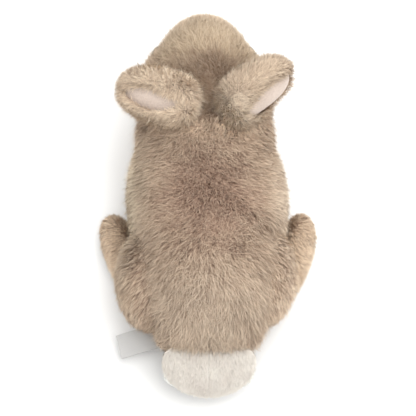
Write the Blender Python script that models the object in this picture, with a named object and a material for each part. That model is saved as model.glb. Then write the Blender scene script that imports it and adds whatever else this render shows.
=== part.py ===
"""Crouching plush rabbit hand puppet: a hollow fur body over a hand lining, with a stuffed head on a
ball-shaped neck, ears, forelegs, hind legs with feet, a flap tail and a sewn-in ribbon label.

The rabbit faces -Y and rests on z = 0. Fur solids reach about half way up the pile.
"""
import math

import bmesh
import bpy
from mathutils import Matrix, Vector

# Driving dimensions, in metres. Stations run forward from the tail tip, towards the nose.
LENGTH = 0.2785
FUR_WALL = 0.0048
SHORT_WALL = 0.0026
LINING_WALL = 0.0012
SEAM_GAP = 0.0003
LINING_GAP = 0.0006

# Rows are (station, half width, top, bottom) of the outer surface.
TORSO = (
    (0.022, 0.000, 0.046, 0.046),
    (0.030, 0.026, 0.070, 0.018),
    (0.040, 0.034, 0.083, 0.004),
    (0.052, 0.039, 0.092, -0.003),
    (0.066, 0.0425, 0.099, -0.004),
    (0.084, 0.0450, 0.103, -0.003),
    (0.100, 0.0442, 0.103, -0.004),
    (0.118, 0.0535, 0.102, -0.004),
    (0.138, 0.0560, 0.100, -0.003),
    (0.156, 0.0515, 0.098, 0.003),
    (0.171, 0.0430, 0.097, 0.017),
    (0.190, 0.0300, 0.085, 0.032),
    (0.210, 0.000, 0.057, 0.057),
)
HEAD = (
    (0.172, 0.000, 0.057, 0.057),
    (0.193, 0.0420, 0.098, 0.016),
    (0.208, 0.0460, 0.110, 0.017),
    (0.222, 0.0455, 0.111, 0.018),
    (0.236, 0.0395, 0.104, 0.020),
    (0.250, 0.0300, 0.092, 0.022),
    (0.262, 0.0215, 0.078, 0.024),
    (0.271, 0.0145, 0.067, 0.029),
    (0.277, 0.000, 0.048, 0.048),
)
BELLY_POWER = 2.1
TORSO_FRONT = 0.171
HEAD_REAR = 0.193
BELLY_SEAM_Z = 0.026
CAVITY_ROOF_Z = 0.0605
LINING_FRONT = 0.141

# The hand opening is a slanted cut under the tail, through these two (station, height) points.
OPENING_TOP = (0.026, 0.038)
OPENING_FOOT = (0.054, 0.000)
HEM_WIDTH = 0.0042

NECK_STATION = 0.182
NECK_Z = 0.057
NECK_RADIUS = 0.035
NECK_CLEARANCE = 0.0012
COLLAR_HALF_SPAN = 0.025
FINGER_RADIUS = 0.0125
HEAD_TUBE_END = 0.246

GUSSET_HALF_WIDTH = 0.014
CHIN_SEAM_Z = 0.040

EYE_STATION = 0.2415
EYE_TURN = math.radians(20)
EYE_RADIUS = 0.0062
EYE_HEIGHT = 0.0045
SHANK_RADIUS = 0.0020
SHANK_LENGTH = 0.0095
WASHER_RADIUS = 0.0050

EAR_LENGTH = 0.052
EAR_HALF_WIDTH = 0.0225
EAR_CURL = math.radians(80)
EAR_BACK_WALL = 0.0040
EAR_LINING_WALL = 0.0014
EAR_GAP = 0.0009
# For each ear: root (x, station, z), direction to the tip and direction that the cup faces.
EARS = {
    "left": ((0.0185, 0.190, 0.1150), (0.86, -0.32, -0.12), (0.10, 0.80, 0.50)),
    "right": ((-0.0185, 0.192, 0.1150), (-0.74, -0.58, 0.00), (-0.35, 0.68, 0.60)),
}

HAUNCH_CENTRE = (0.0468, 0.0750, 0.0430)
HAUNCH_RADII = (0.0170, 0.0290, 0.0310)
# Rows are (x, station, z) of the middle of the sole, then half width, half length and height.
FOOT = ((0.0615, 0.104, 0.0), 0.0127, 0.0365, 0.029)
FORELEG = ((0.0350, 0.186, 0.0), 0.0105, 0.0260, 0.020)
FOOT_PIVOT = (0.080, 0.010)
SHOULDER = (0.168, 0.013)
SOLE_SEAM_Z = 0.0055

TAIL_ROOT = (0.0183, 0.0470)
TAIL_HALF_WIDTH = 0.0345
TAIL_HALF_LENGTH = 0.0195
TAIL_HALF_DEPTH = 0.0085
TAIL_DROOP = math.radians(66)
TAIL_WALL = 0.0015

LABEL_ROOT = (0.0335, 0.038, 0.0185)
LABEL_SIZE = (0.0335, 0.0176, 0.0010)
LABEL_DROOP = math.radians(11)


def y_at(station):
    return LENGTH / 2 - station


def point_at(x, station, z):
    return Vector((x, y_at(station), z))


def make_material(name, colour, roughness):
    material = bpy.data.materials.new(name)
    material.use_nodes = True
    shader = material.node_tree.nodes["Principled BSDF"]
    shader.inputs["Base Color"].default_value = (*colour, 1.0)
    shader.inputs["Roughness"].default_value = roughness
    shader.inputs["Metallic"].default_value = 0.0
    return material


def clear_scene():
    for thing in list(bpy.data.objects):
        bpy.data.objects.remove(thing, do_unlink=True)


def smooth_row(rows, angles, angle):
    """Cubic through the rows' values, with slopes from the neighbouring rows."""
    last = len(rows) - 1
    i = 0
    while i < last - 1 and angle > angles[i + 1]:
        i += 1
    span = angles[i + 1] - angles[i]
    t = min(max((angle - angles[i]) / span, 0.0), 1.0)
    values = []
    for column in range(1, len(rows[0])):
        here, there = rows[i][column], rows[i + 1][column]
        before, after = max(i - 1, 0), min(i + 2, last)
        slope_in = (there - rows[before][column]) / (angles[i + 1] - angles[before]) * span
        slope_out = (rows[after][column] - here) / (angles[after] - angles[i]) * span
        values.append(
            here * (2 * t**3 - 3 * t**2 + 1)
            + slope_in * (t**3 - 2 * t**2 + t)
            + there * (3 * t**2 - 2 * t**3)
            + slope_out * (t**3 - t**2)
        )
    return values


def form_point(rows, along, turn):
    """Point of a rounded form: along is 0 at the rear pole and pi at the front pole."""
    first, final = rows[0][0], rows[-1][0]
    angles = [math.acos(1 - 2 * (row[0] - first) / (final - first)) for row in rows]
    width, top, bottom = smooth_row(rows, angles, along)
    station = first + (final - first) * (1 - math.cos(along)) / 2
    middle, half = (top + bottom) / 2, (top - bottom) / 2
    side, rise = math.cos(turn), math.sin(turn)
    power = BELLY_POWER if rise < 0 else 2.0
    x = width * math.copysign(abs(side) ** (2 / power), side)
    z = middle + half * math.copysign(abs(rise) ** (2 / power), rise)
    return point_at(x, station, max(z, 0.0))


def along_at(rows, station):
    first, final = rows[0][0], rows[-1][0]
    return math.acos(1 - 2 * (station - first) / (final - first))


def form_frame(rows, station, turn):
    """Surface point and outward normal at a station, turned up from the side."""
    along, step = along_at(rows, station), 0.01
    here = form_point(rows, along, turn)
    forward = form_point(rows, along + step, turn) - form_point(rows, along - step, turn)
    around = form_point(rows, along, turn + step) - form_point(rows, along, turn - step)
    normal = forward.cross(around).normalized()
    outward = here - point_at(0, station, here.z * 0.5 + 0.025)
    return here, normal if normal.dot(outward) > 0 else -normal


def keep_normals(mesh):
    """Store each vertex's normal, so that a cut edge still thickens square to the whole surface."""
    bmesh.ops.recalc_face_normals(mesh, faces=mesh.faces)
    if mesh.calc_volume(signed=True) < 0:
        bmesh.ops.reverse_faces(mesh, faces=mesh.faces)
    mesh.normal_update()
    layer = mesh.verts.layers.float_vector.new("skin")
    for vert in mesh.verts:
        vert[layer] = vert.normal.copy()


def make_form(rows, segments, rings, depth=0.0):
    mesh = bmesh.new()
    bmesh.ops.create_uvsphere(mesh, u_segments=segments, v_segments=rings, radius=1.0)
    for vert in mesh.verts:
        along = math.acos(min(max(vert.co.z, -1.0), 1.0))
        vert.co = form_point(rows, along, math.atan2(vert.co.y, vert.co.x))
    keep_normals(mesh)
    sink(mesh, depth)
    return mesh


def sink(mesh, depth):
    layer = mesh.verts.layers.float_vector["skin"]
    for vert in mesh.verts:
        vert.co -= vert[layer] * depth


def cut(mesh, point, normal, close=False):
    """Remove what lies on the side that the normal points to."""
    bmesh.ops.bisect_plane(
        mesh,
        geom=mesh.verts[:] + mesh.edges[:] + mesh.faces[:],
        plane_co=point,
        plane_no=normal,
        clear_outer=True,
        dist=1e-6,
    )
    if close:
        rim = [edge for edge in mesh.edges if edge.is_boundary]
        bmesh.ops.holes_fill(mesh, edges=rim)


def thicken(mesh, wall):
    """Close an open skin into a wall that grows inwards."""
    layer = mesh.verts.layers.float_vector["skin"]
    grown = bmesh.ops.extrude_face_region(mesh, geom=mesh.faces[:], use_keep_orig=True)
    for item in grown["geom"]:
        if isinstance(item, bmesh.types.BMVert):
            item.co -= item[layer] * wall


def add_node(mesh, name, material, pivot=None):
    bmesh.ops.recalc_face_normals(mesh, faces=mesh.faces)
    data = bpy.data.meshes.new(name)
    if pivot is not None:
        mesh.transform(Matrix.Translation(-pivot))
    mesh.to_mesh(data)
    mesh.free()
    node = bpy.data.objects.new(name, data)
    if pivot is not None:
        node.location = pivot
    data.materials.append(material)
    data.shade_smooth()
    data.set_sharp_from_angle(angle=math.radians(40))
    rabbit.objects.link(node)
    return node


def subtract(node, cutter):
    cutter.hide_render = True
    cutter.display_type = "WIRE"
    change = node.modifiers.new(cutter.name, "BOOLEAN")
    change.operation = "DIFFERENCE"
    change.object = cutter


def add_cutter(mesh, name):
    bmesh.ops.recalc_face_normals(mesh, faces=mesh.faces)
    data = bpy.data.meshes.new(name)
    mesh.to_mesh(data)
    mesh.free()
    cutter = bpy.data.objects.new(name, data)
    cutters.objects.link(cutter)
    return cutter


def ball(radius, segments=24, rings=14):
    mesh = bmesh.new()
    bmesh.ops.create_uvsphere(mesh, u_segments=segments, v_segments=rings, radius=radius)
    return mesh


def turned(profile, steps=12):
    """Spin (radius, height) points about +Z into a closed solid; both ends lie on the axis."""
    mesh = bmesh.new()
    verts = [mesh.verts.new((radius, 0, height)) for radius, height in profile]
    edges = [mesh.edges.new(pair) for pair in zip(verts, verts[1:])]
    bmesh.ops.spin(
        mesh, geom=verts + edges, axis=(0, 0, 1), cent=(0, 0, 0),
        angle=math.tau, steps=steps, use_merge=True,
    )
    bmesh.ops.remove_doubles(mesh, verts=mesh.verts, dist=1e-6)
    return mesh


def ring_profile(outer, inner, low, high):
    return ((outer, low), (outer, high), (inner, high), (inner, low), (outer, low))


def towards(origin, direction):
    """Matrix that carries +Z onto a direction, at an origin."""
    return Matrix.Translation(origin) @ direction.to_track_quat("Z", "Y").to_matrix().to_4x4()


def opening_plane(shift):
    """Point and outward normal of the hand opening, moved outwards by shift."""
    top, foot = point_at(0, *OPENING_TOP), point_at(0, *OPENING_FOOT)
    normal = Vector((1, 0, 0)).cross(top - foot).normalized()
    if normal.y < 0:
        normal.negate()
    return top + normal * shift, normal


def add_torso():
    half = SEAM_GAP / 2
    front = point_at(0, TORSO_FRONT, 0)
    mouth, mouth_normal = opening_plane(0)
    for side, name in ((1, "back_panel_left"), (-1, "back_panel_right")):
        mesh = make_form(TORSO, 20, 18)
        cut(mesh, (side * half, 0, 0), (-side, 0, 0))
        cut(mesh, (0, 0, BELLY_SEAM_Z + half), (0, 0, -1))
        cut(mesh, front, (0, -1, 0))
        cut(mesh, mouth, mouth_normal)
        thicken(mesh, FUR_WALL)
        add_node(mesh, name, fur)
    mesh = make_form(TORSO, 20, 18)
    cut(mesh, (0, 0, BELLY_SEAM_Z - half), (0, 0, 1))
    cut(mesh, front, (0, -1, 0))
    cut(mesh, mouth, mouth_normal)
    thicken(mesh, FUR_WALL)
    add_node(mesh, "belly_panel", white_plush)

    mesh = make_form(TORSO, 20, 18)
    near, _ = opening_plane(SEAM_GAP)
    far, _ = opening_plane(SEAM_GAP + HEM_WIDTH)
    cut(mesh, near, -mouth_normal)
    cut(mesh, far, mouth_normal)
    thicken(mesh, FUR_WALL)
    add_node(mesh, "opening_hem", lining_cloth)


def add_hand_lining():
    mesh = make_form(TORSO, 20, 18, FUR_WALL + LINING_GAP)
    for vert in mesh.verts:
        vert.co.z = min(vert.co.z, CAVITY_ROOF_Z)
    mesh.normal_update()
    layer = mesh.verts.layers.float_vector["skin"]
    for vert in mesh.verts:
        vert[layer] = vert.normal.copy()
    mouth, mouth_normal = opening_plane(0)
    cut(mesh, mouth, mouth_normal)
    cut(mesh, point_at(0, LINING_FRONT, 0), (0, -1, 0))
    thicken(mesh, LINING_WALL)
    add_node(mesh, "hand_lining", lining_cloth)

    mesh = make_form(TORSO, 20, 18, FUR_WALL + LINING_GAP)
    cut(mesh, (0, 0, CAVITY_ROOF_Z + LINING_GAP), (0, 0, -1), close=True)
    cut(mesh, point_at(0, LINING_FRONT, 0), (0, -1, 0), close=True)
    add_node(mesh, "back_stuffing", stuffing)


def add_neck():
    centre = point_at(0, NECK_STATION, NECK_Z)
    mesh = ball(NECK_RADIUS, 20, 12)
    mesh.transform(Matrix.Rotation(math.radians(90), 4, "X"))
    keep_normals(mesh)
    for sense in (1, -1):
        cut(mesh, (0, sense * COLLAR_HALF_SPAN, 0), (0, sense, 0))
    thicken(mesh, FUR_WALL)
    mesh.transform(Matrix.Translation(centre))
    add_node(mesh, "neck_collar", fur, centre)

    reach = math.sqrt(NECK_RADIUS**2 - FINGER_RADIUS**2) - NECK_CLEARANCE
    inner = FINGER_RADIUS - LINING_WALL
    mesh = turned(ring_profile(FINGER_RADIUS, inner, -reach, reach))
    mesh.transform(towards(centre, Vector((0, -1, 0))))
    add_node(mesh, "neck_lining", lining_cloth, centre)


def add_head():
    pivot = point_at(0, NECK_STATION, NECK_Z)
    rear = point_at(0, HEAD_REAR, 0)
    half, edge = SEAM_GAP / 2, GUSSET_HALF_WIDTH
    panels = {}
    mesh = make_form(HEAD, 20, 12)
    cut(mesh, (edge, 0, 0), (1, 0, 0))
    cut(mesh, (-edge, 0, 0), (-1, 0, 0))
    cut(mesh, (0, 0, CHIN_SEAM_Z + half), (0, 0, -1))
    cut(mesh, rear, (0, 1, 0))
    thicken(mesh, FUR_WALL)
    add_node(mesh, "head_gusset", fur, pivot)
    for side, name in ((1, "left"), (-1, "right")):
        mesh = make_form(HEAD, 20, 12)
        cut(mesh, (side * (edge + SEAM_GAP), 0, 0), (-side, 0, 0))
        cut(mesh, (0, 0, CHIN_SEAM_Z + half), (0, 0, -1))
        cut(mesh, rear, (0, 1, 0))
        thicken(mesh, FUR_WALL)
        panels[name] = add_node(mesh, "cheek_panel_" + name, fur, pivot)
    mesh = make_form(HEAD, 20, 12)
    cut(mesh, (0, 0, CHIN_SEAM_Z - half), (0, 0, 1))
    cut(mesh, rear, (0, 1, 0))
    thicken(mesh, FUR_WALL)
    add_node(mesh, "chin_panel", white_plush, pivot)

    mesh = make_form(HEAD, 20, 12, FUR_WALL + LINING_GAP)
    cut(mesh, rear, (0, 1, 0), close=True)
    core = add_node(mesh, "head_stuffing", stuffing, pivot)
    mesh = ball(NECK_RADIUS + NECK_CLEARANCE, 20, 12)
    mesh.transform(Matrix.Translation(pivot))
    subtract(core, add_cutter(mesh, "neck_room"))

    start = NECK_STATION + NECK_RADIUS + NECK_CLEARANCE
    inner = FINGER_RADIUS - LINING_WALL
    length = HEAD_TUBE_END - start
    round_end = length - 0.006
    profile = (
        (0, length), (FINGER_RADIUS * 0.6, length), (FINGER_RADIUS, round_end), (FINGER_RADIUS, 0),
        (inner, 0), (inner, round_end), (inner * 0.6, length - LINING_WALL), (0, length - LINING_WALL),
    )
    mesh = turned(profile)
    mesh.transform(towards(point_at(0, start, NECK_Z), Vector((0, -1, 0))))
    add_node(mesh, "finger_tube", lining_cloth, pivot)
    room = FINGER_RADIUS + LINING_GAP
    mesh = bmesh.new()
    bmesh.ops.create_cone(
        mesh, cap_ends=True, segments=16, radius1=room, radius2=room, depth=0.060
    )
    end = HEAD_TUBE_END + LINING_GAP
    mesh.transform(towards(point_at(0, end - 0.030, NECK_Z), Vector((0, -1, 0))))
    subtract(core, add_cutter(mesh, "finger_room"))
    return panels, core, pivot


def rod(radius, low, high, segments=12):
    mesh = bmesh.new()
    bmesh.ops.create_cone(
        mesh, cap_ends=True, segments=segments, radius1=radius, radius2=radius, depth=high - low
    )
    mesh.transform(Matrix.Translation((0, 0, (low + high) / 2)))
    return mesh


def add_eyes(panels, core, pivot):
    arc = [math.radians(22.5 * k) for k in range(5)]
    dome = [(EYE_RADIUS * math.cos(a), SEAM_GAP + EYE_HEIGHT * math.sin(a)) for a in arc[:-1]]
    profile = [(0, -SHANK_LENGTH), (SHANK_RADIUS, -SHANK_LENGTH), (SHANK_RADIUS, SEAM_GAP)]
    profile += dome + [(0, SEAM_GAP + EYE_HEIGHT)]
    for side, name in ((1, "left"), (-1, "right")):
        turn = EYE_TURN if side > 0 else math.pi - EYE_TURN
        spot, normal = form_frame(HEAD, EYE_STATION, turn)
        seat = towards(spot + normal * SEAM_GAP, normal)
        mesh = turned(profile)
        mesh.transform(seat)
        add_node(mesh, "eye_" + name, eye_plastic, pivot)
        low = -FUR_WALL - 0.0030
        mesh = turned(ring_profile(WASHER_RADIUS, SHANK_RADIUS + SEAM_GAP, low, low + 0.0014))
        mesh.transform(seat)
        add_node(mesh, "eye_washer_" + name, washer_plastic, pivot)
        mesh = rod(SHANK_RADIUS + SEAM_GAP, -0.012, 0.004)
        mesh.transform(seat)
        subtract(panels[name], add_cutter(mesh, "shank_hole_" + name))
        mesh = rod(WASHER_RADIUS + LINING_GAP, -0.0115, 0.0)
        mesh.transform(seat)
        subtract(core, add_cutter(mesh, "washer_room_" + name))


def add_muzzle(pivot):
    spot, normal = form_frame(HEAD, 0.2735, math.radians(90))
    mesh = ball(1.0, 10, 6)
    mesh.transform(Matrix.Diagonal((0.0052, 0.0034, 0.0013, 1)))
    mesh.transform(towards(spot + normal * (0.0013 + SEAM_GAP * 3), normal))
    add_node(mesh, "nose", nose_thread, pivot)

    curve = bpy.data.curves.new("mouth_stitch", "CURVE")
    curve.dimensions = "3D"
    curve.bevel_depth = 0.0006
    curve.bevel_resolution = 1
    curve.use_fill_caps = True
    path = curve.splines.new("POLY")
    spread = [-0.008, -0.0055, -0.0028, 0.0, 0.0028, 0.0055, 0.008]
    path.points.add(len(spread) - 1)
    for knot, x in zip(path.points, spread):
        drop = 0.0022 * math.cos(abs(x) / 0.008 * math.pi)
        z = 0.0425 + drop
        knot.co = (x, mouth_y(x, z), z, 1)
    guide = bpy.data.objects.new("mouth_guide", curve)
    cutters.objects.link(guide)
    data = bpy.data.meshes.new_from_object(guide.evaluated_get(bpy.context.evaluated_depsgraph_get()))
    bpy.data.objects.remove(guide)
    mesh = bmesh.new()
    mesh.from_mesh(data)
    bmesh.ops.remove_doubles(mesh, verts=mesh.verts, dist=1e-6)
    add_node(mesh, "mouth_stitch", nose_thread, pivot)


def mouth_y(x, z):
    """Just in front of the muzzle at this spot."""
    low, high = HEAD[-3][0], HEAD[-1][0]
    for _ in range(30):
        station = (low + high) / 2
        along = along_at(HEAD, station)
        first, final = HEAD[0][0], HEAD[-1][0]
        angles = [math.acos(1 - 2 * (row[0] - first) / (final - first)) for row in HEAD]
        width, top, bottom = smooth_row(HEAD, angles, along)
        reach = (x / width) ** 2 + ((z - (top + bottom) / 2) / ((top - bottom) / 2)) ** 2
        low, high = (station, high) if reach < 1 else (low, station)
    return y_at(station) - 0.0016


def ear_sheet(depth):
    """A leaf curled along its length: +Z runs to the tip and +Y is the way the cup faces."""
    mesh = bmesh.new()
    bmesh.ops.create_grid(mesh, x_segments=7, y_segments=6, size=1.0)
    for vert in mesh.verts:
        across, length = vert.co.x, (vert.co.y + 1) / 2
        leaf = math.sin(math.pi * (0.16 + 0.80 * length)) ** 0.75
        half_width = EAR_HALF_WIDTH * max(leaf, 0.05)
        curl = EAR_CURL * (1.10 - 0.40 * length)
        radius = half_width / curl
        angle = across * curl
        centre = radius - 0.5 * half_width
        vert.co = (
            (radius + depth) * math.sin(angle),
            centre - (radius + depth) * math.cos(angle) + 0.004 * math.sin(math.pi * length),
            EAR_LENGTH * length,
        )
    keep_normals(mesh)
    layer = mesh.verts.layers.float_vector["skin"]
    middle = min(mesh.verts, key=lambda vert: abs(vert.co.x) + abs(vert.co.z - EAR_LENGTH / 2))
    if middle[layer].y > 0:
        for vert in mesh.verts:
            vert[layer] = -vert[layer]
    return mesh


def add_ears():
    for name, (root, tipward, facing) in EARS.items():
        pivot = point_at(*root)
        long_way = Vector(tipward).normalized()
        cup_way = Vector(facing)
        cup_way = (cup_way - long_way * cup_way.dot(long_way)).normalized()
        side_way = cup_way.cross(long_way)
        pose = Matrix.Translation(pivot) @ Matrix((side_way, cup_way, long_way)).transposed().to_4x4()
        mesh = ear_sheet(EAR_LINING_WALL + EAR_GAP + EAR_BACK_WALL)
        thicken(mesh, EAR_BACK_WALL)
        mesh.transform(pose)
        add_node(mesh, "ear_back_" + name, fur, pivot)
        mesh = ear_sheet(EAR_LINING_WALL)
        thicken(mesh, EAR_LINING_WALL)
        mesh.transform(pose)
        add_node(mesh, "ear_lining_" + name, ear_velour, pivot)


def dome(centre, radii, side, depth=0.0):
    mesh = ball(1.0, 16, 10)
    mesh.transform(Matrix.Rotation(math.radians(90), 4, "Y"))
    mesh.transform(Matrix.Diagonal((*radii, 1)))
    keep_normals(mesh)
    sink(mesh, depth)
    mesh.transform(Matrix.Translation((side * centre[0], y_at(centre[1]), centre[2])))
    return mesh


def add_haunches():
    x, station, z = HAUNCH_CENTRE
    for side, name in ((1, "left"), (-1, "right")):
        pivot = point_at(side * x, station, z)
        mesh = dome(HAUNCH_CENTRE, HAUNCH_RADII, side)
        cut(mesh, (side * x, 0, 0), (-side, 0, 0))
        thicken(mesh, FUR_WALL)
        add_node(mesh, "haunch_cover_" + name, fur, pivot)
        mesh = dome(HAUNCH_CENTRE, HAUNCH_RADII, side, FUR_WALL + LINING_GAP)
        cut(mesh, (side * x, 0, 0), (-side, 0, 0), close=True)
        add_node(mesh, "haunch_stuffing_" + name, stuffing, pivot)


def limb(size, side, heel, depth=0.0):
    """A long rounded foot on a flat sole; heel is how low its rear end is, from 0 to 1."""
    (x, station, _), half_width, half_length, height = size
    mesh = ball(1.0, 12, 9)
    mesh.transform(Matrix.Rotation(math.radians(90), 4, "X"))
    for vert in mesh.verts:
        ahead = -vert.co.y
        rise = height * (1 - heel * (1 - ahead) ** 2 / 4)
        blunt = math.copysign(abs(vert.co.z) ** 0.9, vert.co.z)
        vert.co = (vert.co.x * half_width, vert.co.y * half_length, (blunt * 0.56 + 0.44) * rise)
        vert.co.z = max(vert.co.z, 0.0)
    bmesh.ops.remove_doubles(mesh, verts=mesh.verts, dist=1e-6)
    keep_normals(mesh)
    sink(mesh, depth)
    mesh.transform(Matrix.Translation((side * x, y_at(station), 0)))
    return mesh


def add_limbs(size, pivot_at, heel, cover_name, sole_name, core_name):
    half = SEAM_GAP / 2
    for side, name in ((1, "_left"), (-1, "_right")):
        pivot = point_at(side * size[0][0], *pivot_at)
        mesh = limb(size, side, heel)
        cut(mesh, (0, 0, SOLE_SEAM_Z + half), (0, 0, -1))
        thicken(mesh, SHORT_WALL)
        add_node(mesh, cover_name + name, fur, pivot)
        mesh = limb(size, side, heel)
        cut(mesh, (0, 0, SOLE_SEAM_Z - half), (0, 0, 1))
        thicken(mesh, SHORT_WALL)
        add_node(mesh, sole_name + name, white_plush, pivot)
        mesh = limb(size, side, heel, SHORT_WALL + LINING_GAP)
        add_node(mesh, core_name + name, stuffing, pivot)


def tail_form(depth=0.0):
    mesh = ball(1.0, 16, 9)
    for vert in mesh.verts:
        root = (1 + vert.co.z) / 2
        slim = 1 - 0.42 * root**2
        vert.co = (vert.co.x * TAIL_HALF_WIDTH, vert.co.y * TAIL_HALF_DEPTH * slim, vert.co.z * TAIL_HALF_LENGTH)
    keep_normals(mesh)
    sink(mesh, depth)
    return mesh


def add_tail():
    root = point_at(0, *TAIL_ROOT)
    hang = Vector((0, math.cos(TAIL_DROOP), -math.sin(TAIL_DROOP)))
    lean = Matrix.Rotation(math.radians(90) - TAIL_DROOP, 4, "X")
    pose = Matrix.Translation(root + hang * (TAIL_HALF_LENGTH * 0.93)) @ lean
    seam = root + hang * 0.004
    half = SEAM_GAP / 2
    mesh = tail_form()
    mesh.transform(pose)
    turn = lean.to_3x3()
    layer = mesh.verts.layers.float_vector["skin"]
    for vert in mesh.verts:
        vert[layer] = turn @ vert[layer]
    back = mesh.copy()
    facing = turn @ Vector((0, 1, 0))
    centre = root + hang * TAIL_HALF_LENGTH
    cut(mesh, centre + facing * half, -facing)
    cut(back, centre - facing * half, facing)
    thicken(mesh, TAIL_WALL)
    thicken(back, TAIL_WALL)
    add_node(mesh, "tail_outer", white_plush, seam)
    add_node(back, "tail_inner", white_plush, seam)
    mesh = tail_form(TAIL_WALL + LINING_GAP)
    mesh.transform(pose)
    add_node(mesh, "tail_stuffing", stuffing, seam)


def add_label():
    length, width, thickness = LABEL_SIZE
    pivot = point_at(*LABEL_ROOT)
    mesh = bmesh.new()
    bmesh.ops.create_cube(mesh, size=1.0)
    mesh.transform(Matrix.Translation((0.5, 0, 0)))
    mesh.transform(Matrix.Diagonal((length, width, thickness, 1)))
    mesh.transform(Matrix.Translation(pivot) @ Matrix.Rotation(LABEL_DROOP, 4, "Y"))
    add_node(mesh, "ribbon_label", ribbon, pivot)


clear_scene()
rabbit = bpy.data.collections.new("rabbit_hand_puppet")
cutters = bpy.data.collections.new("cutters")
for group in (rabbit, cutters):
    bpy.context.scene.collection.children.link(group)

fur = make_material("fur", (0.40, 0.28, 0.20), 0.95)
white_plush = make_material("white_plush", (0.74, 0.70, 0.65), 0.95)
ear_velour = make_material("ear_velour", (0.62, 0.52, 0.47), 0.9)
lining_cloth = make_material("lining_cloth", (0.50, 0.43, 0.36), 0.9)
stuffing = make_material("stuffing", (0.85, 0.85, 0.83), 1.0)
eye_plastic = make_material("eye_plastic", (0.015, 0.010, 0.008), 0.12)
washer_plastic = make_material("washer_plastic", (0.60, 0.60, 0.58), 0.5)
nose_thread = make_material("nose_thread", (0.30, 0.14, 0.11), 0.8)
ribbon = make_material("ribbon", (0.72, 0.74, 0.72), 0.6)

add_torso()
add_hand_lining()
add_neck()
cheeks, head_core, nod_axis = add_head()
add_eyes(cheeks, head_core, nod_axis)
add_muzzle(nod_axis)
add_ears()
add_haunches()
add_limbs(FOOT, FOOT_PIVOT, 0.55, "foot_cover", "foot_sole", "foot_stuffing")
add_limbs(FORELEG, SHOULDER, 0.10, "foreleg_cover", "paw_sole", "foreleg_stuffing")
add_tail()
add_label()
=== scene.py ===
import math

import bmesh
import bpy
import numpy as np
from mathutils import Matrix, Vector
from mathutils.bvhtree import BVHTree
from mathutils.kdtree import KDTree


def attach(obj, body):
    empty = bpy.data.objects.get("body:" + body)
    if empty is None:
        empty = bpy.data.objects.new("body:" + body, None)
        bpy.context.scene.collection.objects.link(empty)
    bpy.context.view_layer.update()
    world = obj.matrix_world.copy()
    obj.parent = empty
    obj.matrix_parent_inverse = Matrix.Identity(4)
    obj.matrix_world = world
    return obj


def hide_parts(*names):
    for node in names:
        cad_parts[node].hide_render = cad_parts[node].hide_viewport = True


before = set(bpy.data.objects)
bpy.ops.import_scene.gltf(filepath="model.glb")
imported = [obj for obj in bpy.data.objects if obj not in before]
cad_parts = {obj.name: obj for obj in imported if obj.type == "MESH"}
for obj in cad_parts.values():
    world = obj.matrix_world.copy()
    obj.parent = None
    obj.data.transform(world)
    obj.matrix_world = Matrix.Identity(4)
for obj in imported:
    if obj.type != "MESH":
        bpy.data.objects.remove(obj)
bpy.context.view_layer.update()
print("frame loaded:", len(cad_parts), "nodes")

# The rabbit faces -Y. A station is how far forward of the tail tip a point lies.
bodyLength = 0.2785

# rows: station, half width, top, bottom
torsoRows = (
    (0.0270, 0.000, 0.048, 0.048), (0.0315, 0.0285, 0.067, 0.023), (0.041, 0.0345, 0.082, 0.006),
    (0.054, 0.0405, 0.093, -0.003), (0.067, 0.0450, 0.100, -0.004), (0.084, 0.0480, 0.103, -0.003),
    (0.100, 0.0480, 0.103, -0.004), (0.118, 0.0535, 0.102, -0.004), (0.138, 0.0550, 0.100, -0.003),
    (0.156, 0.0530, 0.098, 0.003), (0.171, 0.0475, 0.097, 0.017), (0.190, 0.0340, 0.085, 0.032),
    (0.210, 0.000, 0.057, 0.057),
)
headRows = (
    (0.172, 0.000, 0.057, 0.057), (0.193, 0.0420, 0.098, 0.016), (0.208, 0.0460, 0.110, 0.017),
    (0.222, 0.0440, 0.111, 0.018), (0.236, 0.0380, 0.105, 0.020), (0.250, 0.0300, 0.094, 0.022),
    (0.264, 0.0235, 0.080, 0.024), (0.273, 0.0160, 0.068, 0.029), (0.2795, 0.000, 0.048, 0.048),
)
lean = {"start": 0.070, "end": 0.240, "shift": 0.0038}  # the head is held a little to the left
torso = {"front": 0.177, "bellySeam": 0.026, "openingTop": (0.026, 0.038), "openingFoot": (0.054, 0.0)}
head = {"rear": 0.187, "gusset": 0.014, "chinSeam": 0.040}
neck = {"station": 0.182, "height": 0.057, "radii": (0.0440, 0.036, 0.0375), "halfSpan": 0.026}


def yAt(station):
    return bodyLength / 2 - station


def spot(x, station, z):
    return Vector((x, yAt(station), z))


def leanAt(station):
    t = min(max((station - lean["start"]) / (lean["end"] - lean["start"]), 0.0), 1.0)
    return lean["shift"] * t * t * (3 - 2 * t)


def rowValues(rows, angles, angle):
    last = len(rows) - 1
    i = 0
    while i < last - 1 and angle > angles[i + 1]:
        i += 1
    span = angles[i + 1] - angles[i]
    t = min(max((angle - angles[i]) / span, 0.0), 1.0)
    before, after = max(i - 1, 0), min(i + 2, last)
    values = []
    for column in range(1, len(rows[0])):
        here, there = rows[i][column], rows[i + 1][column]
        slopeIn = (there - rows[before][column]) / (angles[i + 1] - angles[before]) * span
        slopeOut = (rows[after][column] - here) / (angles[after] - angles[i]) * span
        values.append(here * (2 * t**3 - 3 * t**2 + 1) + slopeIn * (t**3 - 2 * t**2 + t)
                      + there * (3 * t**2 - 2 * t**3) + slopeOut * (t**3 - t**2))
    return values


def rowAngles(rows):
    first, final = rows[0][0], rows[-1][0]
    return [math.acos(1 - 2 * (row[0] - first) / (final - first)) for row in rows]


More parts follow.
